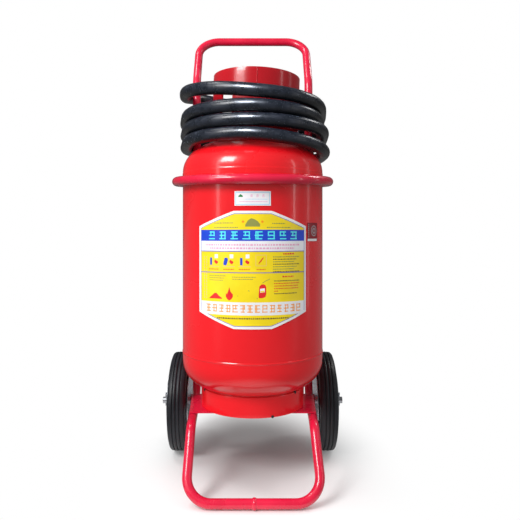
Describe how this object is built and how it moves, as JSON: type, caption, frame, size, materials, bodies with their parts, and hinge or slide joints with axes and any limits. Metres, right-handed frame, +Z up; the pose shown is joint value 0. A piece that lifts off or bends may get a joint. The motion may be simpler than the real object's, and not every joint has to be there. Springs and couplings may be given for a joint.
{
  "type": "wheeled fire extinguisher",
  "caption": "Red wheeled dry-powder fire extinguisher with coiled hose, guard collar, tube trolley frame, wheels and label.",
  "frame": {"origin": "on the floor, under the middle of the part's outline", "axes": "+Z up, +Y towards the back where the handle and the wheels are, -Y towards the labelled front"},
  "size_m": [0.45, 0.4522, 1.0545],
  "materials": {
    "vessel_paint": "gloss",
    "frame_paint": "gloss",
    "label_film": "satin",
    "powder": "matte",
    "inner_aluminium": "satin",
    "brass": "satin",
    "plated_steel": "satin",
    "zinc_steel": "satin",
    "chrome": "gloss",
    "dial_metal": "matte",
    "needle_plastic": "matte",
    "clear_lens": "gloss",
    "hose_rubber": "satin",
    "gun_plastic": "satin",
    "tyre_rubber": "satin"
  },
  "bodies": {
    "trolley": {"vessel_shell": "vessel_paint", "upper_head": "vessel_paint", "lower_head": "vessel_paint", "neck_ring": "vessel_paint", "skirt_ring": "vessel_paint", "valve_guard": "vessel_paint", "handle_tube": "frame_paint", "leg_tube": "frame_paint", "rail_sleeve_left": "frame_paint", "rail_sleeve_right": "frame_paint", "butt_bead": "frame_paint", "shoulder_hoop": "frame_paint", "base_plate_left": "frame_paint", "base_plate_right": "frame_paint", "axle_housing": "frame_paint", "hose_rest_left": "frame_paint", "hose_rest_right": "frame_paint", "axle_bracket_left": "frame_paint", "axle_bracket_right": "frame_paint", "main_label": "label_film", "approval_label": "label_film", "inspection_sticker": "label_film", "powder_charge": "powder", "siphon_tube": "inner_aluminium", "valve_body": "brass", "bonnet": "brass", "union_nut": "brass", "spring_seat": "brass", "stem_spring": "plated_steel", "lever_pin": "plated_steel", "trigger_pin": "plated_steel", "gun_clip": "plated_steel", "valve_ferrule": "plated_steel", "gun_ferrule": "plated_steel", "gauge_case": "chrome", "gauge_dial": "dial_metal", "gauge_lens": "clear_lens", "neck_gasket": "hose_rubber", "hose": "hose_rubber", "gun_body": "gun_plastic", "gun_nozzle": "gun_plastic", "washer_left": "zinc_steel", "split_pin_left": "zinc_steel", "washer_right": "zinc_steel", "split_pin_right": "zinc_steel", "axle": "zinc_steel"},
    "wheel_left": {"tyre_left": "tyre_rubber", "outer_disc_left": "zinc_steel", "inner_disc_left": "zinc_steel", "hub_left": "zinc_steel"},
    "wheel_right": {"tyre_right": "tyre_rubber", "outer_disc_right": "zinc_steel", "inner_disc_right": "zinc_steel", "hub_right": "zinc_steel"},
    "lever": {"valve_lever": "plated_steel"},
    "stem": {"valve_stem": "plated_steel"},
    "safety_pin_body": {"safety_pin": "plated_steel"},
    "needle": {"gauge_needle": "needle_plastic"},
    "trigger": {"gun_trigger": "plated_steel"}
  },
  "joints": [
    {"name": "wheel_left_spin", "type": "hinge", "parent": "trolley", "child": "wheel_left", "pos_m": [-0.179, 0.1066, 0.1195], "axis": [1, 0, 0], "continuous": true},
    {"name": "wheel_right_spin", "type": "hinge", "parent": "trolley", "child": "wheel_right", "pos_m": [0.179, 0.1066, 0.1195], "axis": [1, 0, 0], "continuous": true},
    {"name": "valve_lever_swing", "type": "hinge", "parent": "trolley", "child": "lever", "pos_m": [0, -0.0114, 0.862], "axis": [-1, 0, 0], "range_deg": [0, 90]},
    {"name": "stem_travel", "type": "slide", "parent": "trolley", "child": "stem", "axis": [0, 0, -1], "range_m": [0, 0.006], "deforming": ["stem_spring"]},
    {"name": "safety_pin_pull", "type": "slide", "parent": "lever", "child": "safety_pin_body", "axis": [1, 0, 0], "range_m": [0, 0.045]},
    {"name": "gauge_needle_turn", "type": "hinge", "parent": "trolley", "child": "needle", "pos_m": [0.06, -0.0114, 0.816], "axis": [0, 0, 1], "range_deg": [-60, 120]},
    {"name": "trigger_squeeze", "type": "hinge", "parent": "trolley", "child": "trigger", "pos_m": [0.101, 0.2096, 0.64], "axis": [0, -1, 0], "range_deg": [0, 12], "stiffness_Nm_per_rad": 0.3, "springref_deg": -9.74}
  ],
  "couplings": [
    {"joint": "stem_travel", "follows": "valve_lever_swing", "m_per_rad": 0.0038}
  ]
}
